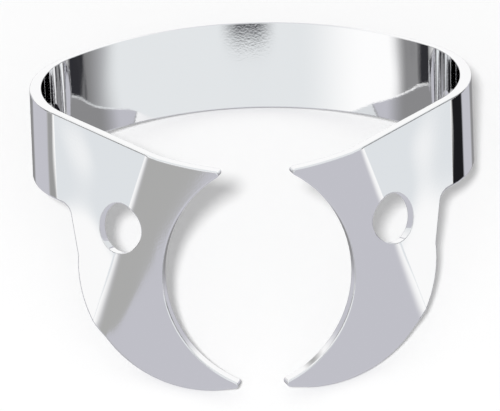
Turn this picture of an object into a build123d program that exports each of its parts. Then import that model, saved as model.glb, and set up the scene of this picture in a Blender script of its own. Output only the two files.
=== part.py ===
"""Rubber dam clamp, bent from one piece of spring strip.

Forming frame, in mm: X runs across the clamp, Y from the jaws back to the crown of the bow, Z up along the
straight lines in which the bow is bent. The inner face of the right half is drawn as flat, cylindrical and
conical faces, trimmed to its outline, thickened outwards and mirrored. The finished clamp is turned to lie on
its two jaws and the crown of its bow.
"""

import os
from math import acos, asin, atan2, cos, degrees, radians, sin, sqrt, tan

from build123d import *

# Strip
thickness = 0.65
overall_width = 25.3
strip_height = 4.95
edge_radius = 0.08

# Bow, seen along its bend lines
crown_radius = 17.8
shoulder_radius = 3.9
leg_angle = 43.0

# Both edges of the strip rise towards the crown
edge_lean = 23.7

# Jaws: turned in from the legs, and tipped so that they face down
jaw_angle = 16.0
jaw_tip_angle = 11.9

# Fold between leg and jaw: tight at the top edge, softer further down
crease_inset = 7.1
crease_z = 2.7
bend_radius = 0.3
bend_growth = 0.1

# Jaw outline, seen from the front
horn_gap = 2.9
horn_z = 1.75
horn_run = 0.3
horn_sag = 0.093
grip_inset = 0.35
grip_z = -4.1
foot_gap = 1.1
foot_rise = 0.2
foot_land = 1.85
tip_radius = 0.2
lobe_inset = 2.8
lobe_z = -3.8
lobe_side_angle = 5.0
waist_inset = 0.68
waist_flare = 0.36

# Forceps holes, beside the fold
hole_diameter = 2.85
hole_offset = 0.5
hole_z = -1.5
hole_turn = 25.0

# Slopes and normals of the flat faces
leg_slope = tan(radians(leg_angle))
jaw_slope = tan(radians(jaw_angle))
jaw_fall = tan(radians(jaw_tip_angle))
edge_slope = tan(radians(edge_lean))
leg_normal = Vector(leg_slope, -1, 0).normalized()
jaw_normal = Vector(jaw_slope, -1, -jaw_fall).normalized()
half_width = overall_width / 2
crease_x = half_width - crease_inset
crease_top = Vector(crease_x, 0, crease_z)

# Centres of the bow's arcs on the inner face
shoulder_x = half_width - thickness - shoulder_radius
leg_end_x = shoulder_x + shoulder_radius * sin(radians(leg_angle))
leg_end_y = (leg_end_x - crease_x) * leg_slope
shoulder_y = leg_end_y + shoulder_radius * cos(radians(leg_angle))
crown_y = shoulder_y - sqrt((crown_radius - shoulder_radius) ** 2 - shoulder_x**2)
joint_angle = degrees(atan2(shoulder_y - crown_y, shoulder_x))
apex_y = crown_y + crown_radius
apex_bottom_z = crease_z + apex_y * edge_slope - strip_height
beyond = 2 * overall_width

# Places on the jaw that follow from the fold and the leg
waist_x = leg_end_x - waist_inset
waist_radius = 1.25 * waist_inset
lobe_x = crease_x - lobe_inset
lobe_radius = waist_x - waist_flare - lobe_x
horn_tip = (horn_gap / 2, horn_z)
foot_tip = (foot_gap / 2, lobe_z - lobe_radius + foot_rise)
lobe_foot_angle = -degrees(acos((foot_tip[0] + foot_land - lobe_x) / lobe_radius))
grip_deepest = (crease_x - grip_inset, grip_z)
hole_x = crease_x + (crease_z - hole_z) * jaw_fall / (leg_slope - jaw_slope) + hole_offset


def leg_y(x):
    """Depth of the flat inner face of a leg."""
    return (x - crease_x) * leg_slope


def jaw_y(x, z):
    """Depth of the flat inner face of a jaw."""
    return (x - crease_x) * jaw_slope - (z - crease_z) * jaw_fall


def top_z(y):
    """Height of the top edge of the strip at a depth."""
    return crease_z + y * edge_slope


def bottom_z(y):
    """Height of the bottom edge of the strip at a depth."""
    return top_z(y) - strip_height


# Crown and shoulder: arcs drawn straight up
crown_arc = CenterArc((0, crown_y, -beyond), crown_radius, 90, joint_angle - 90)
shoulder_sweep = leg_angle - 90 - joint_angle
shoulder_arc = CenterArc((shoulder_x, shoulder_y, -beyond), shoulder_radius, joint_angle, shoulder_sweep)
crown_face = Face.extrude(crown_arc.edge(), (0, 0, 2 * beyond))
shoulder_face = Face.extrude(shoulder_arc.edge(), (0, 0, 2 * beyond))

# Bend: a cone inside the corner of leg and jaw, touching both, with its apex on the crease above the strip
crease = leg_normal.cross(jaw_normal).normalized()
outward = (leg_normal + jaw_normal).normalized()
half_fold = radians(leg_normal.get_angle(jaw_normal) / 2)
axis_angle = asin(bend_growth / cos(half_fold))
cone_axis = crease * cos(axis_angle) - outward * sin(axis_angle)
cone_apex = crease_top - crease * (bend_radius / bend_growth)
cone_foot = beyond * tan(asin(bend_growth))
bottom_up = (Align.CENTER, Align.CENTER, Align.MIN)
cone = Plane(cone_apex, x_dir=-outward, z_dir=cone_axis) * Cone(0, cone_foot, beyond, align=bottom_up)
touch_leg = cone_axis + leg_normal * bend_growth
touch_jaw = cone_axis + jaw_normal * bend_growth
chord = Plane(cone_apex, z_dir=touch_jaw.cross(touch_leg))
bend_face = split(cone, chord, keep=Keep.TOP).faces().filter_by(GeomType.CONE)[0]

# Leg and jaw: flat faces on either side of the bend
leg_rim = [(beyond, leg_y(beyond), -beyond), (beyond, leg_y(beyond), beyond)]
leg_face = make_face(Polyline(cone_apex, cone_apex + touch_leg * beyond, *leg_rim, close=True)).face()
jaw_rim = [(-beyond, jaw_y(-beyond, -beyond), -beyond), (-beyond, jaw_y(-beyond, beyond), beyond)]
jaw_face = make_face(Polyline(cone_apex, cone_apex + touch_jaw * beyond, *jaw_rim, close=True)).face()

# Side view of the strip: its two leaning edges
strip_side = Polyline(
    (-beyond, top_z(-beyond)),
    (beyond, top_z(beyond)),
    (beyond, bottom_z(beyond)),
    (-beyond, bottom_z(-beyond)),
    close=True,
)
strip_slab = extrude(Plane.YZ * make_face(strip_side), amount=beyond, both=True)

# Front view of leg and jaw
waist = (waist_x, bottom_z(leg_y(waist_x)))
leg_low = (leg_end_x, bottom_z(leg_end_y))
leg_high = (leg_end_x, top_z(leg_end_y))
horn_root = (crease_x - horn_run, top_z(leg_y(crease_x - horn_run)))
grip = ThreePointArc(horn_tip, grip_deepest, foot_tip)
lobe = CenterArc((lobe_x, lobe_z), lobe_radius, lobe_foot_angle, lobe_side_angle - lobe_foot_angle)
rim = Polyline(lobe @ 1, waist, leg_low, leg_high, horn_root)
horn = SagittaArc(horn_root, horn_tip, horn_sag)
front = make_face([grip.edge(), Line(foot_tip, lobe @ 0).edge(), lobe.edge(), *rim.edges(), horn.edge()])


def corner_at(point):
    """Corner of the front view nearest to a point."""
    return front.vertices().sort_by_distance((*point, 0))[0]


front = fillet(corner_at(waist), waist_radius)
front = fillet([corner_at(horn_tip), corner_at(foot_tip)], tip_radius)
front_slab = extrude(Plane.XZ * front, amount=beyond, both=True)

# Trim the inner faces, thicken them outwards and join them
bow_faces = [face & strip_slab for face in (crown_face, shoulder_face)]
front_faces = [face & front_slab for face in (leg_face, bend_face, jaw_face)]
bow_pieces = [Solid.thicken(face, thickness, (1, 1, 0)) for face in bow_faces]
front_pieces = [Solid.thicken(face, thickness, outward) for face in front_faces]
half = bow_pieces[0].fuse(*bow_pieces[1:], *front_pieces)

# Forceps hole
hole_axis = Vector(sin(radians(hole_turn)), -cos(radians(hole_turn)))
hole = Plane((hole_x, leg_y(hole_x), hole_z), z_dir=hole_axis) * Cylinder(hole_diameter / 2, overall_width / 2)
half -= hole


def is_outer_corner(edge):
    """True for an edge where the outer face of the sheet ends, apart from the rim of the hole."""
    middle = edge @ 0.5
    sides = [face for face in half.faces() if edge in face.edges()]
    if len(sides) < 2 or sides[0].normal_at(middle).get_angle(sides[1].normal_at(middle)) < 30:
        return False
    if middle.X < edge_radius or hole.distance_to(middle) < edge_radius:
        return False
    return min(face.distance_to(middle) for face in bow_faces + front_faces) > thickness / 2


half = fillet([edge for edge in half.edges() if is_outer_corner(edge)], edge_radius)
clamp = half + half.mirror(Plane.YZ)

# Lying on the rims of both jaws and on the crown: the tilt that brings them to one level
rest_tilt = 45.0
for _ in range(8):
    down = cos(radians(rest_tilt)) + jaw_fall * sin(radians(rest_tilt))
    across = jaw_slope * sin(radians(rest_tilt))
    low_x = lobe_x + lobe_radius * across / sqrt(down**2 + across**2)
    low_z = lobe_z - lobe_radius * down / sqrt(down**2 + across**2)
    rest_tilt = degrees(atan2(apex_bottom_z - low_z, apex_y + thickness - jaw_y(low_x, low_z)))
lying = Rot(-rest_tilt, 0, 0) * clamp
box = lying.bounding_box()
lying = Pos(-box.center().X, -box.center().Y, -box.min.Z) * lying

os.makedirs("parts", exist_ok=True)
export_step(lying, "parts/clamp.step")
print(f"clamp: valid {lying.is_valid}, {lying.volume:.1f} mm3, lying tilt {rest_tilt:.2f} degrees")
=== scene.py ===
# %% [markdown]
# # A rubber dam clamp on a white table
#
# The clamp is one piece of polished spring strip, and its shape comes ready from the CAD frame. What is left
# to make is what the eye reads in the photograph: mirror-bright steel that shows the studio around it, a white
# table with a soft shadow, and a long lens that looks down at the clamp from the front.
#
# The script runs from top to bottom. Each step says what it is for, then does it, then prints what it made.

from math import cos, radians, sin

import bpy
from mathutils import Matrix, Vector

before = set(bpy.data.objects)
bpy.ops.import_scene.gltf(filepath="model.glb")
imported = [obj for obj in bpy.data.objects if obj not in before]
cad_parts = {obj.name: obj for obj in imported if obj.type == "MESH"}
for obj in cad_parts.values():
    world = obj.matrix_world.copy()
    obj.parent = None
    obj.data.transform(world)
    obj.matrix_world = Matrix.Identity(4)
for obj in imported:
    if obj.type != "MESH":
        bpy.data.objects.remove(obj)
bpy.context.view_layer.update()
MM = 0.001

# %% [markdown]
# ## Camera
#
# The photograph fits a long lens at about a quarter of a metre. The camera looks along +Y and down, and it is
# rolled a little, so the right side of the clamp sits higher. The numbers below put the holes, the tips of the
# jaws and the crown of the bow close to where the photograph has them.

# %% Choose the camera's place
target = Vector((-0.276, 0.0, 1.642)) * MM
azimuth = radians(0.96)
elevation = radians(55.3)
roll = radians(1.32)
distance = 239.7 * MM

forward = Vector((sin(azimuth) * cos(elevation), cos(azimuth) * cos(elevation), -sin(elevation)))
level = Vector((cos(azimuth), -sin(azimuth), 0.0))
upright = level.cross(forward)
right = level * cos(roll) - upright * sin(roll)
up = level * sin(roll) + upright * cos(roll)
print("camera looks along", [round(c, 3) for c in forward])

# %% Place the camera
camera_data = bpy.data.cameras.new("long_lens")
camera_data.lens = 300.0
camera_data.sensor_width = 36.0
camera_data.clip_start = 0.01
camera_data.clip_end = 10.0
camera = bpy.data.objects.new("long_lens", camera_data)
camera.matrix_world = Matrix((right, up, -forward)).transposed().to_4x4()
camera.location = target - forward * distance
bpy.context.scene.collection.objects.link(camera)
bpy.context.scene.camera = camera
print("camera at, mm", [round(c / MM, 1) for c in camera.location])

# %% [markdown]
# ## Steel
#
# Polished stainless steel is a mirror with a slight grey tint. Three things keep it from looking like new chrome:
# a roughness that drifts a little from place to place, a shallow ripple, and a fine grain left by polishing.
#
# A few helpers keep the steps short. `noise` makes a pattern that is fixed to the clamp, `remap` stretches a
# value from one range to another, and `bump` tilts the surface by a height.

# %% Helpers for the steel
steel = bpy.data.materials.new("polished_steel")
steel.use_nodes = True
nodes = steel.node_tree.nodes
links = steel.node_tree.links
place = nodes.new("ShaderNodeTexCoord").outputs["Object"]


def noise(scale, detail):
    node = nodes.new("ShaderNodeTexNoise")
    node.inputs["Scale"].default_value = scale
    node.inputs["Detail"].default_value = detail
    links.new(place, node.inputs["Vector"])
    return node.outputs["Fac"]


def remap(value, old_range, new_range):
    node = nodes.new("ShaderNodeMapRange")
    node.inputs["From Min"].default_value = old_range[0]
    node.inputs["From Max"].default_value = old_range[1]
    node.inputs["To Min"].default_value = new_range[0]
    node.inputs["To Max"].default_value = new_range[1]
    links.new(value, node.inputs["Value"])
    return node.outputs["Result"]


def bump(height, distance, strength, normal):
    node = nodes.new("ShaderNodeBump")
    node.inputs["Distance"].default_value = distance
    links.new(height, node.inputs["Height"])
    links.new(strength, node.inputs["Strength"])
    links.new(normal, node.inputs["Normal"])
    return node.outputs["Normal"]


print("steel helpers ready")

# %% Colour and shine
surface = nodes["Principled BSDF"]
surface.inputs["Metallic"].default_value = 1.0
surface.inputs["Base Color"].default_value = (0.95, 0.95, 0.955, 1.0)
roughness_range = (0.015, 0.035)
roughness = remap(noise(180.0, 3.0), (0.0, 1.0), roughness_range)
links.new(roughness, surface.inputs["Roughness"])
print("roughness", roughness_range)

# %% [markdown]
# Edges are slightly rounded on the real part, so a bevelled normal catches light there.
#
# The polish isn't perfectly flat either. A slow, very shallow ripple bends the reflections on the legs and at the
# ends of the bow. The jaws lie nearer the middle and stay almost flat, so the ripple grows with the distance from
# the middle plane.

# %% Round the edges and ripple the legs
rounding = nodes.new("ShaderNodeBevel")
rounding.samples = 6
rounding.inputs["Radius"].default_value = 0.07 * MM

apart = nodes.new("ShaderNodeSeparateXYZ")
links.new(place, apart.inputs["Vector"])
sideways = nodes.new("ShaderNodeMath")
sideways.operation = "ABSOLUTE"
links.new(apart.outputs["X"], sideways.inputs[0])
ripple_strength = remap(sideways.outputs["Value"], (5.6 * MM, 7.5 * MM), (0.006, 0.9))
rippled = bump(noise(200.0, 0.0), 0.07 * MM, ripple_strength, rounding.outputs["Normal"])
print("ripple laid")

# %% [markdown]
# The fine grain breaks up the edges of the reflections. It is strongest inside the bow, at the back.

# %% Grain
grain_strength = remap(apart.outputs["Y"], (-1.0 * MM, 4.0 * MM), (0.06, 0.19))
grained = bump(noise(9000.0, 2.0), 0.0015 * MM, grain_strength, rippled)
links.new(grained, surface.inputs["Normal"])
print("grain laid")

# %% Put the steel on the clamp
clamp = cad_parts["clamp"]
clamp.data.materials.clear()
clamp.data.materials.append(steel)
print("steel on", clamp.name, "with", len(clamp.data.polygons), "faces")

# %% [markdown]
# ## Table
#
# The table is plain and pale, and it only has to hold the soft shadow. The steel doesn't mirror it, because the
# studio below gives every direction its tone, also the ones that look down.

# %% Lay the table
reach = 0.9
corners = [(-reach, -reach, 0.0), (reach, -reach, 0.0), (reach, reach, 0.0), (-reach, reach, 0.0)]
table_mesh = bpy.data.meshes.new("table")
table_mesh.from_pydata(corners, [], [(0, 1, 2, 3)])
table = bpy.data.objects.new("table", table_mesh)
bpy.context.scene.collection.objects.link(table)

white_table = bpy.data.materials.new("white_table")
white_table.use_nodes = True
paper = white_table.node_tree.nodes["Principled BSDF"]
paper.inputs["Base Color"].default_value = (0.98, 0.98, 0.98, 1.0)
paper.inputs["Roughness"].default_value = 0.9
paper.inputs["Specular IOR Level"].default_value = 0.0
table_mesh.materials.append(white_table)
table.visible_glossy = False
print("table reaches", reach, "m")

# %% [markdown]
# ## Studio
#
# To the camera and to the table the world is plain white, dimmer for the table. The steel sees a studio instead:
# white walls with a few cards in them. A card is a range of directions, so each one is built from soft steps
# along an axis.
#
# `along` measures a direction along an axis, `rise` turns that into a soft step, `both` keeps what two steps
# share, and `card` lays a colour over what is there already.

# %% Helpers for the studio
world = bpy.data.worlds.new("studio")
bpy.context.scene.world = world
world.use_nodes = True
sky = world.node_tree
sky_nodes = sky.nodes
heading = sky_nodes.new("ShaderNodeTexCoord").outputs["Generated"]


def along(axis):
    node = sky_nodes.new("ShaderNodeVectorMath")
    node.operation = "DOT_PRODUCT"
    node.inputs[1].default_value = axis
    sky.links.new(heading, node.inputs[0])
    return node.outputs["Value"]


def rise(value, start, end):
    node = sky_nodes.new("ShaderNodeMapRange")
    node.interpolation_type = "SMOOTHSTEP"
    node.inputs["From Min"].default_value = start
    node.inputs["From Max"].default_value = end
    sky.links.new(value, node.inputs["Value"])
    return node.outputs["Result"]


def both(first, second):
    node = sky_nodes.new("ShaderNodeMath")
    node.operation = "MULTIPLY"
    sky.links.new(first, node.inputs[0])
    sky.links.new(second, node.inputs[1])
    return node.outputs["Value"]


def card(under, colour, amount):
    node = sky_nodes.new("ShaderNodeMix")
    node.data_type = "RGBA"
    if isinstance(under, tuple):
        node.inputs["A"].default_value = (*under, 1.0)
    else:
        sky.links.new(under, node.inputs["A"])
    node.inputs["B"].default_value = (*colour, 1.0)
    sky.links.new(amount, node.inputs["Factor"])
    return node.outputs["Result"]


print("studio helpers ready")

# %% Axes and colours of the studio
to_right = along((1.0, 0.0, 0.0))
to_left = along((-1.0, 0.0, 0.0))
to_front = along((0.0, -1.0, 0.0))
to_top = along((0.0, 0.0, 1.0))
to_floor = along((0.0, 0.0, -1.0))

white = (1.0, 1.0, 1.0)
bright = (1.03, 1.03, 1.03)
overcast = (0.80, 0.825, 0.84)
pale = (0.76, 0.79, 0.815)
lilac = (0.55, 0.55, 0.60)
warm_grey = (0.42, 0.42, 0.415)
strip_grey = (0.33, 0.33, 0.33)
floor_shade = (0.27, 0.27, 0.275)
left_shade = (0.26, 0.26, 0.265)
right_shade = (0.20, 0.20, 0.205)
lens_dark = (0.04, 0.04, 0.05)
spot_dark = (0.03, 0.03, 0.035)
black = (0.012, 0.012, 0.014)
print("studio axes and colours ready")

# %% [markdown]
# The middle of the bow looks up, where the studio is lightly overcast, and brighter to the left.
#
# The flat jaws look forward and a little up, where a lilac-grey card stands low in front of the clamp. Its left
# part is a plain darker grey, and the slanting edge between the two crosses the left jaw.

# %% Ceiling and front cards
upper = rise(to_top, 0.20, 0.40)
view = card(white, overcast, upper)
view = card(view, bright, both(rise(to_left, 0.30, 0.68), upper))

low_front = both(rise(to_front, 0.22, 0.68), rise(to_floor, -0.43, -0.36))
view = card(view, lilac, low_front)
slant = rise(along((-0.7836, 0.5594, 0.2702)), -0.0008, 0.0012)
left_front = both(low_front, rise(to_left, 0.25, 0.35))
view = card(view, warm_grey, both(left_front, slant))
print("ceiling and front cards laid")

# %% [markdown]
# The rounded shoulders look past the legs to the floor. The right one shows a black strip with lilac-grey beyond
# it, the left one a darker grey strip. The edges of the sheet look to the back, where the floor stays white.

# %% Side cards
not_back = rise(to_front, -0.80, -0.65)
view = card(view, lilac, both(not_back, rise(to_floor, 0.17, 0.24)))
black_strip = both(rise(to_floor, 0.075, 0.13), rise(to_top, -0.42, -0.36))
view = card(view, black, both(black_strip, rise(to_right, 0.80, 0.88)))
grey_strip = both(rise(to_floor, 0.075, 0.12), rise(to_top, -0.26, -0.19))
view = card(view, strip_grey, both(grey_strip, rise(to_left, 0.40, 0.50)))
print("side cards laid")

# %% [markdown]
# The legs are flat, so each one shows only a few degrees of a side wall. A soft fall of tone there keeps them
# from turning into blank paper. The axis leans a little, because the camera stands slightly left of the middle.

# %% Fall of tone on the side walls
wall_height = along((0.0075, 0.0, 1.0))
wall_depth = along((-0.0075, 0.0, -1.0))
wall_band = both(rise(wall_depth, -0.03, 0.0), rise(wall_height, -0.052, -0.036))
view = card(view, pale, both(wall_band, not_back))
print("side walls toned")

# %% [markdown]
# The ends of the bow look across at the opposite wall, where the studio falls into shade. Below the shade, each
# end shows the inside of the opposite leg, which in turn shows the floor behind the clamp, so that floor is shaded
# as well.

# %% Shade for the ends of the bow
for side in (-1.0, 1.0):
    behind = along((side * 0.305, 0.578, -0.757))
    view = card(view, floor_shade, rise(behind, 0.95, 0.985))
above_legs = rise(along((0.0, 0.5, 1.0)), -0.02, 0.05)
view = card(view, right_shade, both(rise(to_right, 0.74, 0.90), above_legs))
view = card(view, left_shade, both(rise(to_left, 0.81, 0.86), above_legs))
print("ends of the bow shaded")

# %% [markdown]
# The shade isn't even: dark spots are scattered through it.

# %% Dark spots in the shade
mottle = sky_nodes.new("ShaderNodeTexNoise")
mottle.inputs["Scale"].default_value = 7.0
mottle.inputs["Detail"].default_value = 3.0
sky.links.new(heading, mottle.inputs["Vector"])
dark_spots = both(rise(mottle.outputs["Fac"], 0.47, 0.60), above_legs)
for outward in (to_left, to_right):
    view = card(view, spot_dark, both(rise(outward, 0.84, 0.90), dark_spots))
print("dark spots laid")

# %% [markdown]
# The middle of the bow looks back at the camera, which shows as a dark smudge at the top edge.

# %% The camera's own reflection
lens_height = rise(along((0.0, 0.718, 0.696)), 0.0005, 0.0085)
lens_width = both(rise(to_right, -0.19, -0.03), rise(to_left, -0.21, -0.05))
lens_front = rise(to_front, 0.5, 0.6)
view = card(view, lens_dark, both(lens_height, both(lens_width, lens_front)))
print("lens laid")

# %% [markdown]
# The light path decides who sees what. The camera sees white, rays that bounce off the steel get the studio, and
# the table is filled by a dimmer white, so that the lamp can throw a shadow.

# %% Helpers for the light path
path = sky_nodes.new("ShaderNodeLightPath")


def backdrop(strength):
    node = sky_nodes.new("ShaderNodeBackground")
    node.inputs["Color"].default_value = (*white, 1.0)
    node.inputs["Strength"].default_value = strength
    return node


def choose(ray, otherwise, chosen):
    node = sky_nodes.new("ShaderNodeMixShader")
    sky.links.new(path.outputs[ray], node.inputs["Fac"])
    sky.links.new(otherwise, node.inputs[1])
    sky.links.new(chosen, node.inputs[2])
    return node.outputs["Shader"]


print("light path ready")

# %% Join the three worlds
fill_strength = 0.53
studio = backdrop(1.0)
sky.links.new(view, studio.inputs["Color"])
fill = backdrop(fill_strength)
unseen = choose("Is Glossy Ray", fill.outputs["Background"], studio.outputs["Background"])
seen = choose("Is Camera Ray", unseen, backdrop(1.0).outputs["Background"])
sky.links.new(seen, sky_nodes["World Output"].inputs["Surface"])
print("world has", len(sky_nodes), "nodes")

# %% [markdown]
# One soft lamp hangs a little above and to the left of the camera, so that a narrow shadow shows along the lower
# right of the raised outlines. The steel doesn't mirror it.

# %% Hang the lamp
lamp_distance = 0.6
lamp_heading = Vector((-0.11, -0.60, 1.0)).normalized()
lamp_data = bpy.data.lights.new("soft_lamp", "AREA")
lamp_data.shape = "DISK"
lamp_data.size = 0.06
lamp_data.energy = 2.05
lamp = bpy.data.objects.new("soft_lamp", lamp_data)
lamp.location = lamp_heading * lamp_distance
lamp.rotation_euler = lamp_heading.to_track_quat("Z", "Y").to_euler()
lamp.visible_glossy = False
bpy.context.scene.collection.objects.link(lamp)

bpy.context.scene.view_settings.view_transform = "Standard"
print("lamp at", [round(c, 2) for c in lamp.location], "watts", lamp_data.energy)
